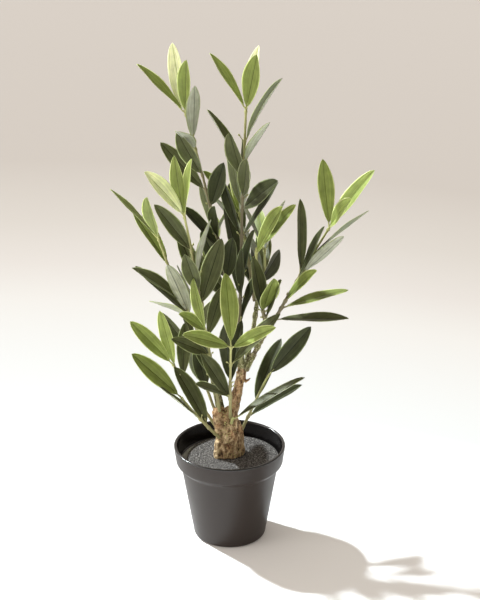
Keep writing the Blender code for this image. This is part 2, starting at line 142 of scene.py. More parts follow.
def studio():
    """Make the camera, the lamp, the soft light, the sky and the floor."""
    scene = bpy.context.scene
    lens = bpy.data.cameras.new("camera")
    lens.lens = FOCAL_LENGTH
    lens.sensor_width = SENSOR_WIDTH
    camera = place_object("camera", lens)
    camera.location = CAMERA_PLACE
    camera.rotation_euler = (math.radians(CAMERA_TILT), 0.0, 0.0)
    scene.camera = camera

    lamp = bpy.data.lights.new("lamp", "SUN")
    lamp.energy = LAMP_POWER
    lamp.color = LAMP_COLOUR
    lamp.angle = math.radians(LAMP_SPREAD)
    place_object("lamp", lamp).rotation_euler = Vector(LAMP_TRAVEL).to_track_quat("-Z", "Y").to_euler()

    soft = bpy.data.lights.new("soft_light", "AREA")
    soft.energy = SOFT_POWER
    soft.color = SOFT_COLOUR
    soft.size = SOFT_SIZE
    soft_light = place_object("soft_light", soft)
    soft_light.location = SOFT_PLACE
    towards_pot = Vector(SOFT_AIM) - Vector(SOFT_PLACE)
    soft_light.rotation_euler = towards_pot.to_track_quat("-Z", "Y").to_euler()

    world = bpy.data.worlds.new("sky")
    world.use_nodes = True
    sky = world.node_tree
    outward = add_node(sky, "ShaderNodeTexCoord").outputs["Generated"]
    towards = add_node(sky, "ShaderNodeSeparateXYZ", {"Vector": outward})
    height = add_maths(sky, "MULTIPLY_ADD", towards.outputs["Z"], 0.5, 0.5)
    leftward = add_maths(sky, "MULTIPLY_ADD", towards.outputs["X"], -SKY_SIDE, 1.0)
    strength = add_maths(sky, "MULTIPLY", add_ramp(sky, height, SKY_LEVELS), leftward)
    sky.nodes["Background"].inputs["Color"].default_value = (*SKY_COLOUR, 1.0)
    sky.links.new(strength, sky.nodes["Background"].inputs["Strength"])
    scene.world = world

    half = FLOOR_HALF
    mesh = bpy.data.meshes.new("floor")
    mesh.from_pydata([(-half, -half, 0), (half, -half, 0), (half, half, 0), (-half, half, 0)],
                     [], [(0, 1, 2, 3)])
    material, tree, shader = new_material("pale_floor", (0.9, 0.9, 0.9), 0.9, Specular_IOR_Level=0.0)
    place = add_node(tree, "ShaderNodeTexCoord").outputs["Object"]
    split = add_node(tree, "ShaderNodeSeparateXYZ", {"Vector": place})
    # The floor's colour darkens with depth, faster to the right: painted shade for light falling off.
    rightward = add_maths(tree, "MAXIMUM", split.outputs["X"], 0.0)
    depth = add_maths(tree, "MULTIPLY_ADD", rightward, FLOOR_FALLOFF_SLANT, split.outputs["Y"])
    share = add_range(tree, depth, FLOOR_NEAR, FLOOR_FAR)
    tree.links.new(add_ramp(tree, share, FLOOR_PAINTED_FALLOFF), shader.inputs["Base Color"])
    mesh.materials.append(material)
    floor = place_object("floor", mesh)


studio()

# Nursery pot
# A thin black pot, injection moulded and left satin outside by its mould and glossy inside, with
# a rolled lip, a collar and a shallow foot. It is one wall turned about the upright axis.
MM = 0.001
SEAT_GAP = 0.3
RIM_RADIUS = 55.0
POT_HEIGHT = 97.5
POT_WALL = 2.0
RIM_LIP = 3.0
COLLAR_FOOT_RADIUS = 52.7
COLLAR_HEIGHT = 17.5
SHOULDER_RADIUS = 47.8
SHOULDER_HEIGHT = 5.0
BASE_RADIUS = 35.5
FOOT_RECESS = 1.0
FOOT_RING_WIDTH = 5.5
RECESS_SLANT = 1.0
POT_FLOOR = 2.5
POT_SIDES = 160
POT_OUTSIDE_COLOUR = (0.0250, 0.0180, 0.0150)
POT_INSIDE_COLOUR = (0.007, 0.006, 0.006)
POT_OUTSIDE_SHINE = 0.30
POT_MOTTLE = 0.88
RIM_SHINE_RINGS = 4


def grid_faces(rows, columns, wrap):
    """Corner numbers of the quads between a grid's points; wrap joins its last column to its first."""
    across = columns if wrap else columns - 1
    row, column = np.meshgrid(np.arange(rows - 1), np.arange(across), indexing="ij")
    after = (column + 1) % columns
    corners = (row * columns + column, row * columns + after,
               (row + 1) * columns + after, (row + 1) * columns + column)
    return np.stack(corners, axis=-1).reshape(-1, 4)


def make_piece(name, points, faces, materials, face_slots=None, uv=None, attributes=None):
    """Make a smooth piece that rides on the root, from points in millimetres and lists of corners."""
    mesh = bpy.data.meshes.new(name)
    mesh.from_pydata((np.asarray(points).reshape(-1, 3) * MM).tolist(), [], faces)
    for material in materials:
        mesh.materials.append(material)
    if face_slots is not None:
        mesh.polygons.foreach_set("material_index", np.asarray(face_slots, np.int32))
    if uv is not None:
        corners = np.empty(len(mesh.loops), np.int32)
        mesh.loops.foreach_get("vertex_index", corners)
        layer = mesh.uv_layers.new(name="Flat")
        layer.data.foreach_set("uv", np.asarray(uv, np.float32).reshape(-1, 2)[corners].ravel())
    for key, values in (attributes or {}).items():
        attribute = mesh.attributes.new(key, "FLOAT", "POINT")
        attribute.data.foreach_set("value", np.asarray(values, np.float32).ravel())
    mesh.shade_smooth()
    mesh.validate()
    piece = place_object(name, mesh)
    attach(piece, "root")
    return piece


def rounded_outline(corners, steps=5):
    """An outline through (radius, height, rounding) corners, each rounded by a short quadratic curve
    that leaves its two sides at the rounding's length from the corner."""
    outline = []
    for index, (radius, height, rounding) in enumerate(corners):
        corner = np.array((radius, height))
        if rounding == 0:
            outline.append(corner)
            continue
        before = np.array(corners[index - 1][:2]) - corner
        after = np.array(corners[index + 1][:2]) - corner
        start = corner + before / np.linalg.norm(before) * rounding
        end = corner + after / np.linalg.norm(after) * rounding
        share = np.linspace(0, 1, steps)[:, None]
        outline.extend((1 - share) ** 2 * start + 2 * share * (1 - share) * corner + share ** 2 * end)
    return np.array(outline)


def turned_surface(outline, sides, centre_x=0.0):
    """Points and faces of an outline carried round an upright axis: x and y are the outline's radius
    times the cosine and sine of the turn. Both ends of the outline lie on the axis, as one point."""
    turn = np.linspace(0, 2 * math.pi, sides, endpoint=False)
    radius, height = outline[1:-1, 0, None], outline[1:-1, 1, None]
    rings = np.stack([radius * np.cos(turn) + centre_x, radius * np.sin(turn), height + 0 * turn], axis=-1)
    rows = len(rings)
    ends = [(centre_x, 0.0, outline[0, 1]), (centre_x, 0.0, outline[-1, 1])]
    points = np.concatenate([rings.reshape(-1, 3), ends])
    faces = grid_faces(rows, sides, True).tolist()
    first, last = rows * sides, rows * sides + 1
    around = np.arange(sides)
    faces += np.stack([np.full(sides, first), (around + 1) % sides, around], axis=-1).tolist()
    base = (rows - 1) * sides
    faces += np.stack([np.full(sides, last), base + around, base + (around + 1) % sides], axis=-1).tolist()
    return points, faces, rows


def new_group(name, inputs, outputs):
    """Make a node group with sockets of these names and kinds, and give it and what comes in."""
    tree = bpy.data.node_groups.new(name, "ShaderNodeTree")
    for side, sockets in (("INPUT", inputs), ("OUTPUT", outputs)):
        for label, kind in sockets.items():
            tree.interface.new_socket(label, in_out=side, socket_type="NodeSocket" + kind)
    return tree, add_node(tree, "NodeGroupInput").outputs


def add_noise(tree, vector, scale, detail):
    """Add a noise texture over a vector and return its factor."""
    inputs = {"Vector": vector, "Scale": scale, "Detail": detail}
    return add_node(tree, "ShaderNodeTexNoise", inputs).outputs["Fac"]


def grain_group():
    """Node group: fine grain at two sizes. It gives a height and a mask, both from 0 to 1."""
    tree, given = new_group("grain", {"Vector": "Vector", "Coarse": "Float", "Fine": "Float"},
                            {"Height": "Float", "Mask": "Float"})
    coarse = add_noise(tree, given["Vector"], given["Coarse"], 3.0)
    fine = add_noise(tree, given["Vector"], given["Fine"], 2.0)
    height = add_maths(tree, "MULTIPLY_ADD", coarse, 0.5, add_maths(tree, "MULTIPLY", fine, 0.5))
    add_node(tree, "NodeGroupOutput", {"Height": height, "Mask": coarse})
    return tree


grain = grain_group()


def add_grain(tree, coarse, fine, vector=None):
    """Place the grain group in a material, over Object coordinates unless a vector is given."""
    if vector is None:
        vector = add_node(tree, "ShaderNodeTexCoord").outputs["Object"]
    node = add_node(tree, "ShaderNodeGroup", node_tree=grain)
    tree.links.new(vector, node.inputs["Vector"])
    node.inputs["Coarse"].default_value = coarse
    node.inputs["Fine"].default_value = fine
    return node.outputs["Height"], node.outputs["Mask"]


def add_bump(tree, shader, height, distance):
    """Give a shader a bump of a height in metres."""
    bump = add_node(tree, "ShaderNodeBump", {"Height": height, "Distance": distance, "Strength": 1.0})
    tree.links.new(bump.outputs["Normal"], shader.inputs["Normal"])


def pot_plastic(name, colour, shine, roughness_low, roughness_high, bump):
    """Moulded black plastic: roughness wanders between two values, over a very fine skin."""
    material, tree, shader = new_material(name, colour, roughness_low, Specular_IOR_Level=shine)
    height, mask = add_grain(tree, 18.0, 1600.0)
    roughness = add_range(tree, mask, 0.3, 0.7, roughness_low, roughness_high)
    tree.links.new(roughness, shader.inputs["Roughness"])
    darker = tuple(POT_MOTTLE * part for part in colour)
    tree.links.new(add_ramp(tree, mask, ((0.35, darker), (0.65, colour))), shader.inputs["Base Color"])
    add_bump(tree, shader, height, bump)
    return material


def nursery_pot():
    """Turn the pot's wall from the middle of its underside, up the outside, and down the inside."""
    collar_foot = POT_HEIGHT - COLLAR_HEIGHT
    shoulder_foot = collar_foot - SHOULDER_HEIGHT
    slope = (SHOULDER_RADIUS - BASE_RADIUS) / shoulder_foot
    ring_inside = BASE_RADIUS - FOOT_RING_WIDTH
    lip_inside = RIM_RADIUS - RIM_LIP
    outside = [
        (0.0, FOOT_RECESS, 0), (ring_inside - RECESS_SLANT, FOOT_RECESS, 0.6), (ring_inside, 0.0, 0.5),
        (BASE_RADIUS, 0.0, 3.4), (SHOULDER_RADIUS, shoulder_foot, 1.2),
        (COLLAR_FOOT_RADIUS, collar_foot, 1.3), (RIM_RADIUS, POT_HEIGHT, 1.3),
    ]
    inside = [
        (lip_inside, POT_HEIGHT, 1.3), (lip_inside - 0.1, POT_HEIGHT - 4.0, 1.0),
        (COLLAR_FOOT_RADIUS - POT_WALL, collar_foot, 1.0),
        (SHOULDER_RADIUS - POT_WALL, shoulder_foot, 1.0),
        (BASE_RADIUS + slope * POT_FLOOR - POT_WALL, POT_FLOOR, 1.0), (0.0, POT_FLOOR, 0),
    ]
    outline = rounded_outline(outside + inside)
    points, faces, rows = turned_surface(outline, POT_SIDES)
    lip = int(np.argmax(outline[1:-1, 1]))
    ring_slots = np.repeat((np.arange(rows - 1) >= lip - RIM_SHINE_RINGS).astype(int), POT_SIDES)
    slots = np.concatenate([ring_slots, np.zeros(POT_SIDES, int), np.ones(POT_SIDES, int)])
    finishes = [
        pot_plastic("pot_outside", POT_OUTSIDE_COLOUR, POT_OUTSIDE_SHINE, 0.40, 0.52, 0.00004),
        pot_plastic("pot_inside", POT_INSIDE_COLOUR, 0.5, 0.16, 0.24, 0.00002),
    ]
    pot = make_piece("nursery_pot", points, faces, finishes, slots)
    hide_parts("pot")


nursery_pot()

# Cement filling
# The weight that keeps the plant upright is cast into the pot and hidden by the foam. Its solid
# stays as it is, in a grey cement with sand and small air holes.
CEMENT_SHADES = ((0.30, (0.22, 0.21, 0.20)), (0.55, (0.42, 0.41, 0.39)), (0.75, (0.50, 0.49, 0.46)))


def cement_filling():
    """Give the filling's solid its cement."""
    material, tree, shader = new_material("cement", (0.42, 0.41, 0.39), 0.9)
    height = add_grain(tree, 120.0, 900.0)[0]
    tree.links.new(add_ramp(tree, height, CEMENT_SHADES), shader.inputs["Base Color"])
    add_bump(tree, shader, height, 0.0004)
    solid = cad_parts["ballast"]
    solid.data.materials.clear()
    solid.data.materials.append(material)


cement_filling()

# Foam cover
# A disc of grey foam with black and pale specks is cut a little small and pushed in round the
# trunk, over to the right-hand wall. Its top is open-celled, so it is slightly rough.
FOAM_RADIUS = 45.5
FOAM_SHIFT = 3.5
FOAM_THICKNESS = 5.0
FOAM_TOP = 84.0
FOAM_ROUNDING = 2.0
FOAM_FOOT_ROUNDING = 0.4
FOAM_ROUGHNESS = ((0.16, 1.3, 1), (0.14, 5.0, 2))
ROUGH_DEPTH = 1.5
FOAM_RINGS = 90
FOAM_SIDES = 260
NOISE_CELLS = 64


def lattice_noise(points, size, seed):
    """Smooth noise from -1 to 1: random numbers at the corners of a cubic lattice of this size, and
    between them a blend of the eight corners round a point by a smooth step along each axis."""
    table = np.random.default_rng(seed).uniform(-1, 1, (NOISE_CELLS,) * 3)
    cell = points / size
    corner = np.floor(cell).astype(int)
    share = cell - corner
    share = share * share * (3 - 2 * share)
    total = np.zeros(points.shape[:-1])
    for step in np.ndindex(2, 2, 2):
        place = (corner + step) % NOISE_CELLS
        weight = np.prod(np.where(step, share, 1 - share), axis=-1)
        total += weight * table[place[..., 0], place[..., 1], place[..., 2]]
    return total


def foam_cover():
    """Turn the disc from fine rings and roughen its top by small noise, less towards the edge."""
    underside = FOAM_TOP - FOAM_THICKNESS
    edge = rounded_outline([(0.0, underside, 0), (FOAM_RADIUS, underside, FOAM_FOOT_ROUNDING),
                            (FOAM_RADIUS, FOAM_TOP, FOAM_ROUNDING), (0.0, FOAM_TOP, 0)])
    radii = np.linspace(FOAM_RADIUS - FOAM_ROUNDING, 0, FOAM_RINGS)[1:-1]
    top = np.stack([radii, np.full_like(radii, FOAM_TOP)], axis=-1)
    outline = np.concatenate([edge[:-1], top, edge[-1:]])
    points, faces = turned_surface(outline, FOAM_SIDES, FOAM_SHIFT)[:2]
    rough = sum(rise * lattice_noise(points, size, seed) for rise, size, seed in FOAM_ROUGHNESS)
    points[:, 2] += np.where(points[:, 2] > FOAM_TOP - ROUGH_DEPTH, rough, 0.0)

    material, tree, shader = new_material("speckled_foam", (0.16, 0.16, 0.17), 0.95, Specular_IOR_Level=0.2)
    height = add_grain(tree, 620.0, 1400.0)[0]
    shades = ((0.39, (0.012, 0.011, 0.010)), (0.48, (0.050, 0.046, 0.043)), (0.55, (0.120, 0.112, 0.105)),
              (0.64, (0.32, 0.305, 0.29)))
    tree.links.new(add_ramp(tree, height, shades), shader.inputs["Base Color"])
    add_bump(tree, shader, height, 0.0008)
    foam = make_piece("foam_cover", points, faces, [material])
    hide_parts("foam_disc")


foam_cover()

# Trunk
# A cast log with a knobbly bark skin stands in the foam: a thick foot with root swellings, a sawn
# stub on its left and a thinner stem on its right, with two short cut spurs at the fork.
GROUND = FOAM_TOP + SEAT_GAP
LOG_RINGS = (
    (GROUND, 15.6, -0.6, 7.0),
    (92.0, 14.9, -0.6, 7.0),
    (103.0, 13.6, 0.4, 4.5),
    (114.0, 13.3, -0.8, 3.0),
    (124.0, 10.2, -0.8, 1.5),
    (136.0, 6.0, 2.6, 0.5),
)
STUB_PATH = ((-7.0, -1.0, 108.0), (-9.6, -1.0, 124.0), (-10.8, -2.0, 136.0))
STUB_RADII = (7.5, 6.2)
STEM_PATH = ((2.0, 0.0, 108.0), (4.0, 0.0, 134.0), (13.0, 0.0, 181.0))
STEM_RADII = (6.6, 4.6)
ROOT_SWELLINGS = (
    ((-11.2, -2.0, 84.0), (-11.6, -1.5, 92.0), (-11.2, -1.0, 101.0), (4.8, 3.2)),
    ((10.5, 9.0, 84.0), (9.5, 8.5, 90.0), (7.5, 8.0, 99.0), (4.4, 2.6)),
)
FORK_SPURS = (
    ((15.5, -2.5, 167.0), (18.5, -4.0, 169.0), (20.5, -5.0, 172.0), (1.9, 1.3)),
    ((9.5, -4.0, 171.0), (8.5, -6.0, 175.0), (8.0, -7.0, 179.0), (1.6, 1.1)),
)
PALE_LOBE = (-12.0, -4.0, 91.0)
LOBE_STRETCH = (1.0, 0.6, 0.45)
LOBE_SIZE = 4.5
STUB_TOP_HEIGHT = 124.0
STUB_TOP_EDGE = -3.0
SEAM_PLACE = -1.5
SEAM_LEAN = 0.06
SEAM_WIDTH = 3.5
SEAM_FOOT_HEIGHT = 100.0
MOSSY_FOOT_HEIGHT = 96.0
MOSSY_FOOT_EDGE = -6.0
MOSSY_FOOT_SHARE = 0.8
LONG_FADE, SHORT_FADE = 10.0, 8.0
BARK_VOXEL = 0.55
BARK_SINK = 0.5
RELIEF_RISE, SLOW_RISE = 0.8, 0.8


def curve_through(foot, middle, tip, count):
    """Points of the quadratic curve that leaves the foot, passes the middle and ends at the tip."""
    foot, middle, tip = np.array(foot, float), np.array(middle, float), np.array(tip, float)
    handle = 2 * middle - (foot + tip) / 2
    along = np.linspace(0, 1, count)[:, None]
    return (1 - along) ** 2 * foot + 2 * along * (1 - along) * handle + along ** 2 * tip


def limb_surface(path, radii, sides):
    """Points and faces of a round limb: at each place of the path a ring of the given radius, in the
    plane across the path, whose first point lies square to the frame's Y axis. Ends are closed."""
    tangent = np.gradient(path, axis=0)
    tangent /= np.linalg.norm(tangent, axis=1)[:, None]
    side = np.cross(tangent, (0.0, 1.0, 0.0))
    side /= np.linalg.norm(side, axis=1)[:, None]
    other = np.cross(tangent, side)
    turn = np.linspace(0, 2 * math.pi, sides, endpoint=False)[None, :, None]
    ring = np.cos(turn) * side[:, None] + np.sin(turn) * other[:, None]
    points = path[:, None] + np.reshape(radii, (-1, 1, 1)) * ring
    rows = len(path)
    faces = grid_faces(rows, sides, True).tolist()
    faces += [list(range(sides))[::-1], list(range((rows - 1) * sides, rows * sides))]
    return points.reshape(-1, 3), faces


def join_surfaces(surfaces):
    """Join (points, faces) pairs into one pair."""
    points, faces, count = [], [], 0
    for some_points, some_faces in surfaces:
        points.append(some_points)
        faces += [[corner + count for corner in face] for face in some_faces]
        count += len(some_points)
    return np.concatenate(points), faces


def fused_skin(points, faces, voxel):
    """Fuse overlapping forms into one even skin and return its points, normals and faces."""
    mesh = bpy.data.meshes.new("rough_form")
    mesh.from_pydata((points * MM).tolist(), [], faces)
    form = place_object("rough_form", mesh)
    remesh = form.modifiers.new("fuse", "REMESH")
    remesh.mode = "VOXEL"
    remesh.voxel_size = voxel * MM
    smooth = form.modifiers.new("soften", "SMOOTH")
    smooth.factor = 0.5
    smooth.iterations = 3
    fused = bpy.data.meshes.new_from_object(form.evaluated_get(bpy.context.evaluated_depsgraph_get()))
    skin = np.empty(len(fused.vertices) * 3)
    normals = np.empty(len(fused.vertices) * 3)
    fused.vertices.foreach_get("co", skin)
    fused.vertex_normals.foreach_get("vector", normals)
    corners = [list(face.vertices) for face in fused.polygons]
    bpy.data.objects.remove(form, do_unlink=True)
    bpy.data.meshes.remove(fused)
    return skin.reshape(-1, 3) / MM, normals.reshape(-1, 3), corners


def bark_relief(points, seed):
    """Height of the bark: long upright ridges, flakes between them and a fine crumb, each a noise of
    its own size. The ridges are noise squeezed across the trunk, folded so that they have crests."""
    upright = points * (1.0, 1.0, 0.34)
    ridges = 1 - 2.6 * np.abs(lattice_noise(upright, 3.0, seed))
    flakes = lattice_noise(points * (1.0, 1.0, 0.6), 2.0, seed + 1)
    crumb = lattice_noise(points, 1.2, seed + 2)
    return 0.46 * ridges + 0.62 * flakes + 0.62 * crumb


def add_attribute(tree, name):
    """Add a node that reads a named attribute and return its factor."""
    return add_node(tree, "ShaderNodeAttribute", attribute_name=name).outputs["Fac"]


def add_mix(tree, share, first, second):
    """Add a blend of two colours and return it: the first at a share of 0, the second at 1."""
    inputs = {0: share, 6: first, 7: second}
    return add_node(tree, "ShaderNodeMix", inputs, data_type="RGBA").outputs[2]


def bark_material(name, shades, second, flecks, bump):
    """Bark by its own relief, partly in a second colour: pits dark and crests pale, which is partly the
    bark's own colour and partly painted shade in the pits and painted highlight on the crests. Its
    attribute mossy says where flecks lie on it, and its attribute redness where the second colour prevails."""
    material, tree, shader = new_material(name, shades[1][1], 0.88, Specular_IOR_Level=0.25)
    relief = add_attribute(tree, "relief")
    height = add_grain(tree, 300.0, 1100.0)[0]
    mixed = add_maths(tree, "MULTIPLY_ADD", height, 0.7, relief)
    mixed = add_maths(tree, "SUBTRACT", mixed, 0.35)
    place = add_node(tree, "ShaderNodeTexCoord").outputs["Object"]
    patches = add_noise(tree, place, 110.0, 2.0)
    patches = add_maths(tree, "MULTIPLY_ADD", add_attribute(tree, "redness"), 0.3, patches)
    # Both ramps run from dark pits to pale crests: partly bark colour, partly painted shade and painted
    # highlight.
    bark = add_mix(tree, add_range(tree, patches, 0.46, 0.64), add_ramp(tree, mixed, shades),
                   add_ramp(tree, mixed, second))
    specks = add_noise(tree, place, 750.0, 1.5)
    specks = add_maths(tree, "MULTIPLY_ADD", add_attribute(tree, "mossy"), 0.10, specks)
    blend = add_mix(tree, add_range(tree, specks, 0.64, 0.70), bark, (*flecks, 1.0))
    tree.links.new(blend, shader.inputs["Base Color"])
    add_bump(tree, shader, height, bump)
    return material


def fade(values, start, reach):
    """Share that rises from 0 at the start to 1 where the values are past it by the reach."""
    return np.clip((values - start) / reach, 0, 1)


def trunk():
    """Fuse the log, stub, stem, root swellings and spurs, then raise the bark on the skin."""
    heights, radii, right, back = np.array(LOG_RINGS).T
    level = np.linspace(heights[0], heights[-1], 24)
    log_path = np.stack([np.interp(level, heights, right), np.interp(level, heights, back), level], axis=-1)
    forms = [limb_surface(log_path, np.interp(level, heights, radii), 32)]
    forms.append(limb_surface(curve_through(*STUB_PATH, 16), np.linspace(*STUB_RADII, 16), 24))
    forms.append(limb_surface(curve_through(*STEM_PATH, 30), np.linspace(*STEM_RADII, 30), 24))
    for foot, middle, tip, ends in ROOT_SWELLINGS + FORK_SPURS:
        forms.append(limb_surface(curve_through(foot, middle, tip, 10), np.linspace(*ends, 10), 14))
    points, normals, faces = fused_skin(*join_surfaces(forms), BARK_VOXEL)
    relief = bark_relief(points, 11)
    slow = lattice_noise(points * (1.0, 1.0, 0.7), 7.0, 15)
    points = points + normals * (RELIEF_RISE * relief + SLOW_RISE * slow - BARK_SINK)[:, None]
    points[:, 2] = np.maximum(points[:, 2], GROUND - 0.1)

    across, height = points[:, 0], points[:, 2]
    lobe = np.exp(-(np.linalg.norm((points - PALE_LOBE) * LOBE_STRETCH, axis=1) / LOBE_SIZE) ** 2)
    stub_top = fade(height, STUB_TOP_HEIGHT, LONG_FADE) * (across < STUB_TOP_EDGE)
    seam = np.exp(-((across - SEAM_PLACE + SEAM_LEAN * (height - FOAM_TOP)) / SEAM_WIDTH) ** 2)
    foot = fade(-height, -MOSSY_FOOT_HEIGHT, SHORT_FADE) * fade(across, MOSSY_FOOT_EDGE, SHORT_FADE)
    mossy = np.maximum(seam * fade(height, SEAM_FOOT_HEIGHT, LONG_FADE), MOSSY_FOOT_SHARE * foot)

    # Near-black pits to pale crests: partly bark colour, partly painted shade in the pits and painted
    # highlight on the crests.
    tan = ((0.12, (0.022, 0.014, 0.008)), (0.36, (0.13, 0.083, 0.043)), (0.60, (0.30, 0.205, 0.112)),
           (0.92, (0.62, 0.49, 0.30)))
    red = ((0.12, (0.022, 0.012, 0.006)), (0.36, (0.135, 0.072, 0.035)), (0.58, (0.26, 0.150, 0.075)),
           (0.90, (0.46, 0.30, 0.16)))
    material = bark_material("trunk_bark", tan, red, (0.40, 0.37, 0.15), 0.0009)
    piece = make_piece("trunk_bark", points, faces, [material], attributes={
        "relief": 0.5 + 0.40 * relief + 0.30 * lobe, "mossy": mossy, "redness": stub_top - lobe})
    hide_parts("trunk")


trunk()

# Boughs
# Six thin limbs rise from the trunk, wire cores in moulded bark with low ridges, small knobs
# where leaves have dropped and short cut spurs. Each runs into the stem of a spray or two.
BOUGHS = (
    ("bough_leader", (12.0, -1.5, 178), (11.8, -1.0, 197), (10.2, 0.0, 216), (2.6, 2.2)),
    ("bough_right", (16.6, -1.0, 178), (26.8, -4.0, 203), (38.5, -7.0, 227), (2.5, 2.1)),
    ("bough_upper_left", (10.0, 2.5, 178), (8.8, 8.0, 203), (3.8, 11.5, 229), (2.4, 2.0)),
    ("bough_back", (14.5, 3.0, 178), (22.0, 22.0, 204), (27.0, 36.0, 236), (2.4, 1.9)),
    ("bough_left", (-9.0, 3.0, 128), (-17.5, 3.0, 172), (-25.0, -2.0, 214), (2.5, 2.0)),
    ("bough_back_left", (-5.0, 6.0, 124), (-15.0, 22.0, 162), (-24.0, 36.0, 196), (2.4, 1.9)),
)
BOUGH_SIDES = 20
BOUGH_ROWS = 90
BOUGH_RELIEF = 0.22
KNOBS = 6
KNOB_SWELLING = 0.55
KNOB_WIDTH = 2.2
SPUR_RADII = (0.9, 0.55)


def spur_surface(root, direction, length):
    """A short cut spur: a thin straight limb that narrows a little and ends blunt."""
    path = root + np.linspace(0, 1, 4)[:, None] * direction * length
    return limb_surface(path, np.linspace(*SPUR_RADII, 4), 8)


def boughs():
    """Make the limbs as round surfaces swollen by knobs, with spurs set round them by a seeded rule."""
    draw = np.random.default_rng(21)
    forms, reliefs = [], []
    for name, foot, middle, tip, ends in BOUGHS:
        path = curve_through(foot, middle, tip, BOUGH_ROWS)
        along = np.linspace(0, 1, BOUGH_ROWS)
        knobs = draw.uniform(0.12, 0.98, KNOBS)
        away = (along[:, None] - knobs) * BOUGH_ROWS / KNOB_WIDTH
        swell = KNOB_SWELLING * np.exp(-away ** 2).sum(axis=1)
        points, faces = limb_surface(path, np.linspace(*ends, BOUGH_ROWS) + swell, BOUGH_SIDES)
        relief = lattice_noise(points * (1, 1, 0.25), 1.5, 31) + 0.5 * lattice_noise(points, 0.9, 32)
        centre = np.repeat(path, BOUGH_SIDES, axis=0)
        outward = (points - centre) / np.linalg.norm(points - centre, axis=1)[:, None]
        forms.append((points + outward * BOUGH_RELIEF * relief[:, None], faces))
        reliefs.append(relief)
        for knob in knobs:
            turn, lean = draw.uniform(0, 2 * math.pi), draw.uniform(0.4, 0.9)
            direction = np.array((math.cos(turn) * lean, math.sin(turn) * lean, 1.0))
            direction /= np.linalg.norm(direction)
            root = path[int(knob * (BOUGH_ROWS - 1))]
            spur, spur_faces = spur_surface(root, direction, draw.uniform(3.5, 6.5))
            forms.append((spur, spur_faces))
            reliefs.append(np.zeros(len(spur)))
    points, faces = join_surfaces(forms)
    # Dark pits to pale crests: partly bark colour, partly painted shade in the pits and painted highlight
    # on the crests.
    olive = ((0.15, (0.035, 0.034, 0.014)), (0.42, (0.115, 0.115, 0.046)), (0.62, (0.21, 0.21, 0.095)),
             (0.90, (0.38, 0.37, 0.20)))
    brown = ((0.15, (0.030, 0.022, 0.012)), (0.42, (0.105, 0.084, 0.048)), (0.62, (0.20, 0.17, 0.10)),
             (0.90, (0.33, 0.29, 0.19)))
    material = bark_material("bough_bark", olive, brown, (0.40, 0.38, 0.22), 0.0003)
    piece = make_piece("boughs", points, faces, [material], attributes={
        "relief": 0.5 + 0.28 * np.concatenate(reliefs), "mossy": np.full(len(points), 0.5),
        "redness": np.zeros(len(points))})
    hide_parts(*[row[0] for row in BOUGHS])


boughs()

# Sprays
# Every spray is a wire stem in green plastic with up to three leaves at its tip and more below.
# Each leaf is placed by its own values in the spray's row and a seed only varies it a little. One
# that would touch another is turned aside or dropped.


class Spray(NamedTuple):
    """A spray of leaves on one curved stem.

    The whorl has a turn and the openings of its three leaves, and a pair has its distance down
    from the tip, a turn, and the openings of its leaf and the leaf opposite; angles are degrees,
    and an opening of 0 is a missing leaf. In that order, rolls has the angle that each leaf is
    turned about its own midrib, and finishes has a letter for each.
    """

    name: str
    foot: tuple
    middle: tuple
    tip: tuple
    leaf_length: float
    seed: int
    whorl: tuple
    pairs: tuple
    rolls: tuple
    finishes: str


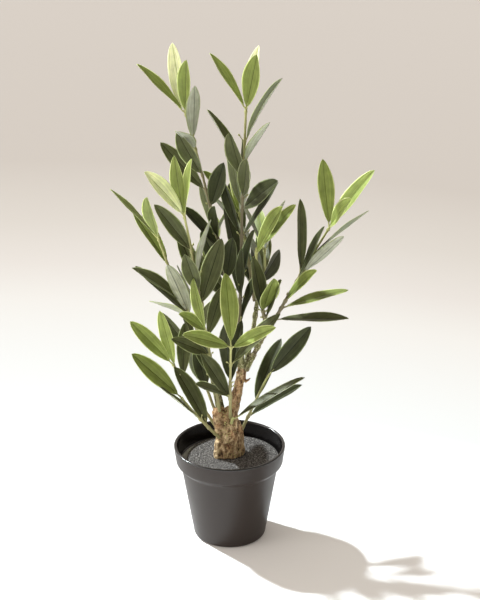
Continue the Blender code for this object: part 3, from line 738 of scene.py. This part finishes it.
SPRAYS = (
    Spray("mass_top", (10.2, -0.1, 214), (12, 3.3, 325), (15.8, 8, 436), 64, 3, (165, 36, 30, 12),
          ((31, 20, 26, 0), (51, 300, 40, 0), (58, 165, 36, 0), (66, 245, 38, 0), (85, 275, 38, 40),
           (96, 300, 54, 30), (123, 175, 20, 30), (160, 120, 20, 0), (173, 300, 16, 0), (185, 100, 30, 20),
           (210, 150, 28, 15)),
          (15, 150, -45, -30, 0, 0, 150, 105, 75, 90, -90, -105, -15, 15, 30, -75, 75, 0, 0),
          "yfpmmmmmmdmddddddmd"),
    Spray("mass_upper_left", (4.2, 11.3, 227), (-15, 13.6, 328), (-40, 18, 430), 62, 5,
          (175, 30, 32, 3),
          ((28, 305, 28, 0), (36, 260, 60, 0), (62, 255, 40, 0), (78, 165, 34, 0), (94, 315, 38, 0),
           (125, 280, 40, 30), (138, 230, 30, 0), (168, 300, 34, 36), (190, 200, 26, 0)),
          (-15, 135, -30, -15, 0, 165, 0, 60, 105, -75, -45, 120, 0, -60), "yfpmmmmddmdddm"),
    Spray("mass_left", (-24, -4, 212), (-31, -20, 285), (-40.5, -34, 348), 66, 7, (215, 24, 18, 6),
          ((40, 205, 20, 0), (70, 0, 14, 0), (102, 24, 26, 0), (86, 255, 22, 0)),
          (-60, 60, 0, -30, -45, 15, -150), "pyfmmmm"),
    Spray("mass_far_left", (-26.5, 0, 212), (-46, 0, 256), (-66.5, 4, 312), 66, 11, (160, 25, 40, 0),
          ((30, 115, 32, 0), (69, 160, 30, 0), (83, 150, 26, 0), (86, 240, 40, 0), (84, 300, 10, 0)),
          (0, 135, 60, 0, 15, 0, -30), "fffmmfm"),
    Spray("mass_right", (39.2, -6.2, 225), (66, -12.5, 280), (93, -16, 330), 68, 13, (135, 45, 45, 5),
          ((30, 20, 25, 0), (55, 315, 20, 35), (62, 250, 16, 0), (86, 270, 30, 0), (95, 5, 45, 0),
           (108, 345, 56, 0)),
          (-15, 135, 0, -60, -15, 0, 120, 75, 0, -45), "yyymmmdffm"),
    Spray("mass_middle_right", (36.2, -8.6, 225), (28.5, -15, 267), (25.2, -18, 308.5), 66, 17,
          (330, 35, 0, 0),
          ((5, 305, 30, 0), (35, 65, 85, 0), (65, 300, 35, 0), (75, 320, 30, 0), (70, 290, 10, 0)),
          (0, 45, 60, 135, 60, 180), "yfdfmm"),
    Spray("mass_front_left", (-9, -3, 131), (-15.5, -20, 185), (-21.5, -34, 234), 56, 19,
          (240, 35, 0, 15),
          ((30, 215, 42, 0), (9, 50, 38, 0), (62, 110, 34, 0)), (-60, -45, -30, 30, 0), "yfmmd"),
    Spray("mass_front", (1, -5.5, 129), (1, -34, 174), (2, -56, 228), 64, 23, (95, 40, 50, 45),
          ((70, 210, 40, 0), (55, 80, 40, 0), (75, 160, 25, 0), (25, 40, 45, 0), (50, 110, 20, 0)),
          (0, -30, 45, -15, -15, -15, -30, -45), "yyymdmmd"),
    Spray("mass_lower_left", (-12, 4, 112), (-34, 5, 148), (-55, 0, 184), 60, 29, (145, 15, 0, 0),
          ((5, 50, 25, 0), (20, 40, 40, 0)), (-30, 15, 60), "yym"),
    Spray("mass_basal_left", (-10, -7, 108), (-30, -22, 138), (-46, -30, 163), 74, 31, (160, 15, 0, 0),
          ((35, 255, 10, 0), (50, 90, 30, 0)), (0, -15, 45), "fmm"),
    Spray("mass_basal_right", (8, 6, 100), (24, 10, 136), (37.8, 0, 172), 68, 37, (35, 25, 0, 0),
          ((40, 85, 35, 0), (55, 40, 55, 0)), (15, -45, -30), "ddd"),
    Spray("mass_low_right", (2, -7, 124), (2.6, -10, 128), (3.5, -13, 132), 84, 41, (25, 0, 0, 0),
          ((2, 25, 65, 0),), (-30,), "m"),
    Spray("mass_back_right", (29, 36, 234), (34, 48, 256), (34, 60, 280), 60, 43, (95, 32, 24, 30),
          ((24, 100, 30, 0), (30, 200, 34, 0), (40, 120, 38, 0)), (0, 0, 0, 0, 0, 0), "fmmmdd"),
    Spray("mass_back_high", (24.5, 38, 234), (18, 52, 274), (10, 56, 318), 60, 47, (80, 30, 26, 30),
          ((26, 75, 32, 30), (52, 110, 36, 0), (72, 60, 36, 34)), (0, 0, 0, 0, 0, 0, 0, 0), "yfmmmddd"),
    Spray("mass_back_left", (-24, 36, 194), (-27, 54, 230), (-26, 70, 262), 60, 53, (75, 30, 0, 28),
          ((26, 150, 30, 34), (52, 50, 60, 34)), (30, 0, 0, 0, -30, 165), "fmmmdd"),
    Spray("mass_low_back", (-7, 13, 108), (-22, 25, 144), (-34, 32, 180), 60, 59, (215, 22, 30, 28),
          ((28, 280, 34, 0), (36, 100, 44, 40)), (-150, 15, 45, 180, -75, 180), "mmmddd"),
)
STEM_RADII_ENDS = (1.7, 1.0)
RING_SPACING = 16.0
STEM_STEP = 4.0
LEAF_WIDTH_SHARE = 0.27
LEAF_THICKNESS = 1.1
LEAF_THINNING = 0.4
LEAF_FOLD = 0.30
LEAF_FULLNESS = 0.62
LEAF_SKEW = 1.12
LEAF_STATIONS = (0.0, 0.06, 0.25, 0.46, 0.67, 0.87)
STALK_SHARE = 0.07
STALK_HALF_WIDTH = 0.75
LENGTH_RANGE = (0.90, 1.08)
LEAN_RANGE = (-3, 3)
TWIST_RANGE = (-35, 35)
BOW_RANGE = (-0.10, 0.04)
DODGE_TURNS = (0, 14, -14, 28, -28, 42, -42, 60, -60)
FRONT_LIGHT = np.array((-0.25, -0.72, 0.65))
FACE_TURN = 0.5


class Leaf(NamedTuple):
    """Where one leaf is: its spray and distance down it, its axes, size, bow and finish."""

    spray: int
    distance: float
    root: np.ndarray
    direction: np.ndarray
    normal: np.ndarray
    length: float
    bow: float
    finish: str


def coarse_limb(foot, middle, tip, radii, sides):
    """A limb in the few rings that the clearance test needs."""
    count = max(4, round(math.dist(foot, tip) / RING_SPACING) + 1)
    return limb_surface(curve_through(foot, middle, tip, count), np.linspace(*radii, count), sides)


def leaf_taper(along):
    """Share of a blade's full width at a share of its length: nothing on the stalk, then a sine
    raised to a power below one, so that the blade is full, and skewed to be widest past its middle."""
    blade = np.clip((along - STALK_SHARE) / (1 - STALK_SHARE), 0, 1)
    return np.sin(np.pi * blade ** LEAF_SKEW) ** LEAF_FULLNESS


def coarse_leaf(root, direction, normal, length, bow, grow):
    """One leaf as four-sided sections along its midrib, which the clearance test uses."""
    side = np.cross(direction, normal)
    along = np.array(LEAF_STATIONS)[:, None]
    rib = root + direction * length * along + normal * bow * length * along ** 2
    half = np.maximum(STALK_HALF_WIDTH, 0.5 * (length * LEAF_WIDTH_SHARE) * leaf_taper(along))
    lift = normal * LEAF_FOLD * (half - STALK_HALF_WIDTH)
    thick = 0.5 * LEAF_THICKNESS * (1 - LEAF_THINNING * along)
    sections = np.stack([rib + side * (half + grow) + lift, rib + normal * (thick + grow),
                         rib - side * (half + grow) + lift, rib - normal * (thick + grow)], axis=1)
    tip = root + direction * (length + grow) + normal * bow * length
    points = np.concatenate([sections.reshape(-1, 3), tip[None]])
    last = 4 * (len(LEAF_STATIONS) - 1)
    faces = [(0, 1, 2, 3)] + grid_faces(len(LEAF_STATIONS), 4, True)[:, ::-1].tolist()
    faces += [(last + step, len(points) - 1, last + (step + 1) % 4) for step in range(4)]
    return points, faces


def stem_frame(path, distance):
    """Point and axes (along, right, back) on a stem at a distance back from its tip."""
    steps = np.linalg.norm(np.diff(path, axis=0), axis=1)
    from_tip = np.concatenate([[0.0], np.cumsum(steps[::-1])])
    places = np.clip((distance, distance - STEM_STEP, distance + STEM_STEP), 0.0, from_tip[-1])
    point, ahead, behind = [
        np.array([np.interp(place, from_tip, path[::-1, axis]) for axis in range(3)]) for place in places]
    along = (ahead - behind) / np.linalg.norm(ahead - behind)
    right = np.array((1.0, 0.0, 0.0)) - along * along[0]
    right /= np.linalg.norm(right)
    return point, along, right, np.cross(along, right)


def leaf_placing(axes, turn, opening, twist):
    """Direction and upper normal of a leaf: it leaves the stem at a turn and an opening, and its
    upper face, which starts out towards the stem, turns part of the way to the light."""
    point, along, right, back = axes
    outward = math.cos(turn) * right + math.sin(turn) * back
    direction = math.cos(opening) * along + math.sin(opening) * outward
    normal = math.sin(opening) * along - math.cos(opening) * outward
    normal = normal + FACE_TURN * (FRONT_LIGHT - direction * FRONT_LIGHT.dot(direction))
    normal /= np.linalg.norm(normal)
    side = np.cross(direction, normal)
    return direction, math.cos(twist) * normal + math.sin(twist) * side


def tree_of(form):
    """A search tree of a form's faces, for finding what it touches."""
    points, faces = form
    return BVHTree.FromPolygons([Vector(point) for point in points], faces)


def leaf_spots(spray):
    """Distance from the tip, turn and opening of each leaf: a whorl of three, then the pairs."""
    turn, *openings = spray.whorl
    spots = [(0.5 + step, turn + 120 * step, opening) for step, opening in enumerate(openings)]
    for distance, turn, opening, opposite in spray.pairs:
        spots.append((distance, turn, opening))
        spots.append((distance, turn + 180, opposite))
    return [spot for spot in spots if spot[2] > 0]


def grow_leaves():
    """Set every leaf from its row, varied a little by its spray's seed, in the order of the sprays."""
    heights, radii, right, back = np.array(LOG_RINGS).T
    log = limb_surface(np.stack([right, back, heights], axis=-1), radii, 10)
    stub, stem = coarse_limb(*STUB_PATH, STUB_RADII, 8), coarse_limb(*STEM_PATH, STEM_RADII, 8)
    crowd = [("trunk", tree_of(form)) for form in (log, stub, stem)]
    for name, foot, middle, tip, ends in BOUGHS:
        crowd.append((name, tree_of(coarse_limb(foot, middle, tip, ends, 7))))
    for spray in SPRAYS:
        stem_form = coarse_limb(spray.foot, spray.middle, spray.tip, STEM_RADII_ENDS, 5)
        crowd.append((spray.name, tree_of(stem_form)))
    leaves = []
    for number, spray in enumerate(SPRAYS):
        draw = random.Random(spray.seed)
        path = curve_through(spray.foot, spray.middle, spray.tip, 40)
        for (distance, turn, opening), roll, finish in zip(leaf_spots(spray), spray.rolls, spray.finishes):
            axes = stem_frame(path, distance)
            length = spray.leaf_length * draw.uniform(*LENGTH_RANGE)
            lean = math.radians(opening + draw.uniform(*LEAN_RANGE))
            twist = math.radians(roll + draw.uniform(*TWIST_RANGE))
            bow = draw.uniform(*BOW_RANGE)
            for dodge in DODGE_TURNS:
                direction, normal = leaf_placing(axes, math.radians(turn + dodge), lean, twist)
                shape = (axes[0], direction, normal, length, bow)
                swollen = tree_of(coarse_leaf(*shape, 2 * SEAT_GAP))
                if not any(swollen.overlap(tree) for owner, tree in crowd if owner != spray.name):
                    crowd.append((spray.name, tree_of(coarse_leaf(*shape, 0.0))))
                    leaves.append(Leaf(number, distance, *shape, finish))
                    break
    return leaves


all_leaves = grow_leaves()

# Stems
# The stems are thin and olive green near their leaves and browner lower down, swollen at each
# node. Leaf stalks, tiny side twigs and closed buds are moulded on in the same plastic.
STEM_SIDES = 12
STEM_ROWS = 110
NODE_SWELLING = 0.60
NODE_WIDTH = 1.6
STEM_RELIEF = 0.16
STALK_RADII = (0.80, 0.55)
GREEN_STEMS = ("mass_front", "mass_front_left", "mass_lower_left", "mass_basal_left", "mass_basal_right",
               "mass_low_right")
TWIG_RADII = (0.55, 0.35)
BUD_LENGTH = 3.4
BUD_RADIUS = 0.85


def bud_surface(root, direction):
    """A closed bud: rings whose radius is a sine of the share along it, pulled to a point."""
    share = np.linspace(0.04, 0.985, 7)
    path = root + share[:, None] * direction * BUD_LENGTH
    return limb_surface(path, BUD_RADIUS * np.sin(np.pi * share) ** 0.7, 8)


def stems():
    """Make each stem swollen at its leaves, then the stalks, side twigs and buds on it."""
    draw = np.random.default_rng(57)
    forms, ages = [], []

    def add(form, age):
        forms.append(form)
        ages.append(np.broadcast_to(age, len(form[0])))

    for number, spray in enumerate(SPRAYS):
        path = curve_through(spray.foot, spray.middle, spray.tip, STEM_ROWS)
        steps = np.concatenate([[0.0], np.cumsum(np.linalg.norm(np.diff(path, axis=0), axis=1))])
        from_tip = steps[-1] - steps
        nodes = np.array([leaf.distance for leaf in all_leaves if leaf.spray == number])
        swell = NODE_SWELLING * np.exp(-((from_tip[:, None] - nodes) / NODE_WIDTH) ** 2).max(axis=1)
        radii = np.linspace(*STEM_RADII_ENDS, STEM_ROWS) + swell
        radii *= np.clip((from_tip + 0.4) / 1.4, 0.3, 1.0)
        points, faces = limb_surface(path, radii, STEM_SIDES)
        points = points + STEM_RELIEF * lattice_noise(points * (1, 1, 0.3), 1.3, 61)[:, None]
        oldest = 0.35 if spray.name in GREEN_STEMS else 1.0
        add((points, faces), np.repeat(np.clip(from_tip / 130.0, 0, oldest), STEM_SIDES))
        tip_axes = stem_frame(path, 0.0)
        add(bud_surface(spray.tip - 0.5 * tip_axes[1], tip_axes[1]), 0.0)
        for distance in np.unique(nodes[nodes > 6]):
            point, along, right, back = stem_frame(path, distance + draw.uniform(-2.0, 2.0))
            turn = draw.uniform(0, 2 * math.pi)
            direction = along + 0.8 * (math.cos(turn) * right + math.sin(turn) * back)
            direction /= np.linalg.norm(direction)
            reach = draw.uniform(3.0, 8.0)
            twig = point + np.linspace(0, 1, 6)[:, None] * direction * reach
            add(limb_surface(twig, np.linspace(*TWIG_RADII, 6), 7), 0.3)
            add(bud_surface(twig[-1] - 0.4 * direction, direction), 0.1)
    for leaf in all_leaves:
        share = np.linspace(0.0, STALK_SHARE + 0.07, 7)[:, None]
        path = leaf.root + leaf.direction * leaf.length * share
        path = path + leaf.normal * leaf.bow * leaf.length * share ** 2
        path = path - leaf.normal * 0.25
        add(limb_surface(path, np.linspace(*STALK_RADII, 7), 8), min(0.6, leaf.distance / 160.0))
    points, faces = join_surfaces(forms)

    material, tree, shader = new_material("stem_plastic", (0.24, 0.24, 0.09), 0.6, Specular_IOR_Level=0.4)
    height = add_grain(tree, 240.0, 900.0)[0]
    mixed = add_maths(tree, "MULTIPLY_ADD", height, 0.5, add_attribute(tree, "age"))
    shades = ((0.22, (0.38, 0.39, 0.15)), (0.48, (0.30, 0.29, 0.12)), (0.75, (0.22, 0.19, 0.10)),
              (1.00, (0.17, 0.145, 0.085)))
    tree.links.new(add_ramp(tree, mixed, shades), shader.inputs["Base Color"])
    add_bump(tree, shader, height, 0.0002)
    piece = make_piece("spray_stems", points, faces, [material], attributes={"age": np.concatenate(ages)})
    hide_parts(*[spray.name for spray in SPRAYS])


stems()

# Leaves
# Each leaf is stamped from coated fabric, folded along its midrib and edged in a paler colour. Its
# midrib is darker on top and underneath, painted shade along the crease of the fold. Young leaves at
# the tips are yellow green, older ones dark, and all are silvery underneath. The pale kind is painted
# light: a near-white colour for the glow and sheen of leaves lit from behind.
BLADE_STATIONS = np.array((0.045, 0.075, 0.115, 0.17, 0.25, 0.34, 0.44, 0.54, 0.64, 0.74, 0.83, 0.91,
                           0.965, 1.0))
TOP_LANES = np.array((-1.0, -0.90, -0.45, -0.13, -0.045, 0.045, 0.13, 0.45, 0.90, 1.0))
UNDER_LANES = np.array((0.90, 0.48, 0.06, -0.06, -0.48, -0.90))
# Slots 2 and 4 are the midrib on top and underneath, coloured darker as painted shade along the fold's
# crease.
LANE_SLOTS = (1, 0, 0, 0, 2, 0, 0, 0, 1) + (1, 3, 3, 4, 3, 3, 1)
BLADE_THICKNESS = 0.62
WIDTH_RANGE = (0.90, 1.08)
FOLD_RANGE = (0.5, 1.6)
RIB_DEPTH = 0.22
EDGE_WAVE = 0.45
EDGE_WAVES = 1.6
EDGE_HALF_THICKNESS = 0.04


class Finish(NamedTuple):
    """Colours of one kind of leaf: its upper side, edge, midrib and underside, and its roughness."""

    upper: tuple
    edge: tuple
    rib: tuple
    under: tuple
    roughness: float


FINISHES = {
    "young": Finish((0.225, 0.275, 0.072), (0.58, 0.63, 0.27), (0.10, 0.13, 0.025),
                    (0.44, 0.47, 0.28), 0.43),
    # The pale kind is painted light: a near-white colour for the glow and sheen of leaves lit from behind.
    "pale": Finish((0.62, 0.64, 0.37), (0.72, 0.74, 0.46), (0.26, 0.30, 0.12),
                   (0.58, 0.60, 0.40), 0.50),
    "fresh": Finish((0.165, 0.200, 0.048), (0.46, 0.52, 0.20), (0.055, 0.070, 0.014),
                    (0.36, 0.38, 0.26), 0.43),
    "mature": Finish((0.076, 0.083, 0.034), (0.26, 0.28, 0.14), (0.020, 0.023, 0.008),
                     (0.33, 0.34, 0.26), 0.46),
    "dark": Finish((0.040, 0.045, 0.019), (0.16, 0.18, 0.09), (0.011, 0.013, 0.005),
                   (0.26, 0.27, 0.20), 0.42),
}
# The letter p gives the pale kind, painted glow and sheen.
KINDS = {"y": "young", "p": "pale", "f": "fresh", "m": "mature", "d": "dark"}


def streak_group():
    """Node group: fine veins that run along a leaf, and soft mottling. It gives a height and a mask."""
    tree, given = new_group("leaf_veins", {"UV": "Vector", "Place": "Vector"},
                            {"Height": "Float", "Mask": "Float"})
    stretched = add_node(tree, "ShaderNodeMapping", {"Vector": given["UV"], "Scale": (1.3, 11.0, 1.0)})
    veins = add_noise(tree, stretched.outputs["Vector"], 1.0, 3.0)
    mottle = add_noise(tree, given["Place"], 140.0, 3.0)
    mask = add_maths(tree, "MULTIPLY_ADD", veins, 0.70, add_maths(tree, "MULTIPLY", mottle, 0.30))
    add_node(tree, "NodeGroupOutput", {"Height": veins, "Mask": mask})
    return tree


leaf_veins = streak_group()


def leaf_material(name, colour, roughness, contrast):
    """Coated fabric that lets a little light through, streaked by veins darker and lighter."""
    material, tree, shader = new_material(
        name, colour, roughness, Specular_IOR_Level=0.12, Subsurface_Weight=0.14,
        Subsurface_Radius=(0.8, 1.0, 0.35), Subsurface_Scale=0.0012)
    where = add_node(tree, "ShaderNodeTexCoord").outputs
    node = add_node(tree, "ShaderNodeGroup", node_tree=leaf_veins)
    tree.links.new(where["UV"], node.inputs["UV"])
    tree.links.new(where["Object"], node.inputs["Place"])
    low = tuple(part * (1 - contrast) for part in colour)
    high = tuple(part * (1 + contrast) for part in colour)
    streaks = add_ramp(tree, node.outputs["Mask"], ((0.38, low), (0.62, high)))
    tree.links.new(streaks, shader.inputs["Base Color"])
    add_bump(tree, shader, node.outputs["Height"], 0.0003)
    return material


def blade_surfaces(leaves, draw):
    """Points of many blades as an array of leaf, station and place round the section. A place is the
    midrib's point, which bows with the square of the share along, plus a share of the half width
    to the side, plus the fold's lift, an edge wave and half the thickness, up or down."""
    root, direction, normal, length, bow = [
        np.array([getattr(leaf, key) for leaf in leaves])[:, None, None]
        for key in ("root", "direction", "normal", "length", "bow")]
    count = len(leaves)
    width = LEAF_WIDTH_SHARE * draw.uniform(*WIDTH_RANGE, count)[:, None, None]
    phase = draw.uniform(0, 2 * np.pi, count)[:, None, None]
    fold = LEAF_FOLD * draw.uniform(*FOLD_RANGE, count)[:, None, None]
    along = BLADE_STATIONS[None, :, None]
    across = np.concatenate([TOP_LANES, UNDER_LANES])[None, None, :]
    upward = np.concatenate([np.ones(len(TOP_LANES)), -np.ones(len(UNDER_LANES))])[None, None, :]
    half = np.maximum(0.30 * (1 - 0.6 * along), 0.5 * width * length * leaf_taper(along))
    round_off = np.sqrt(np.maximum(0, 1 - across ** 2))
    thick = 0.5 * BLADE_THICKNESS * (1 - LEAF_THINNING * along) * round_off + EDGE_HALF_THICKNESS
    groove = RIB_DEPTH * (np.abs(across) < 0.1) * np.minimum(1, half / 3)
    swing = EDGE_WAVE * np.sin(EDGE_WAVES * 2 * np.pi * along + phase)
    wave = swing * np.sign(across) * across ** 2 * np.minimum(1, half / 5)
    lift = fold * half * np.abs(across) + wave + upward * thick - groove
    side = np.cross(direction, normal)
    middle = root + direction * length[..., None] * along[..., None]
    rise = bow * length * along ** 2 + lift
    return middle + side * (half * across)[..., None] + normal * rise[..., None]


def leaf_piece(kind, leaves, seed):
    """Join the leaves of one kind: each a closed blade with its upper side, edges, rib and underside."""
    points = blade_surfaces(leaves, np.random.default_rng(seed))
    count, rows, columns = points.shape[:3]
    around = np.arange(columns)
    quads = grid_faces(rows, columns, True)
    starts = np.arange(count) * rows * columns
    faces = (starts[:, None, None] + quads).reshape(-1, 4).tolist()
    faces += (starts[:, None] + around[::-1]).tolist()
    faces += (starts[:, None] + (rows - 1) * columns + around).tolist()
    slots = np.concatenate([np.tile(LANE_SLOTS, count * (rows - 1)), np.full(2 * count, 3)])
    along = np.broadcast_to(BLADE_STATIONS[:, None], (rows, columns))
    across = np.broadcast_to(np.concatenate([TOP_LANES, UNDER_LANES]) * 0.5 + 0.5, (rows, columns))
    uv = np.broadcast_to(np.stack([along, across], axis=-1), (count, rows, columns, 2))
    finish = FINISHES[kind]
    materials = [
        leaf_material(kind + "_leaf_upper", finish.upper, finish.roughness, 0.30),
        leaf_material(kind + "_leaf_edge", finish.edge, finish.roughness, 0.10),
        # The two rib colours are darker copies, painted shade along the crease of the fold.
        leaf_material(kind + "_leaf_rib", finish.rib, finish.roughness, 0.10),
        leaf_material(kind + "_leaf_under", finish.under, finish.roughness + 0.1, 0.30),
        leaf_material(kind + "_leaf_under_rib", tuple(0.35 * part for part in finish.under), 0.5, 0.10),
    ]
    piece = make_piece("leaves_" + kind, points, faces, materials, slots, uv)
    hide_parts(*sorted({SPRAYS[leaf.spray].name for leaf in leaves}))


for order, kind in enumerate(FINISHES):
    leaf_piece(kind, [leaf for leaf in all_leaves if KINDS[leaf.finish] == kind], 70 + order)
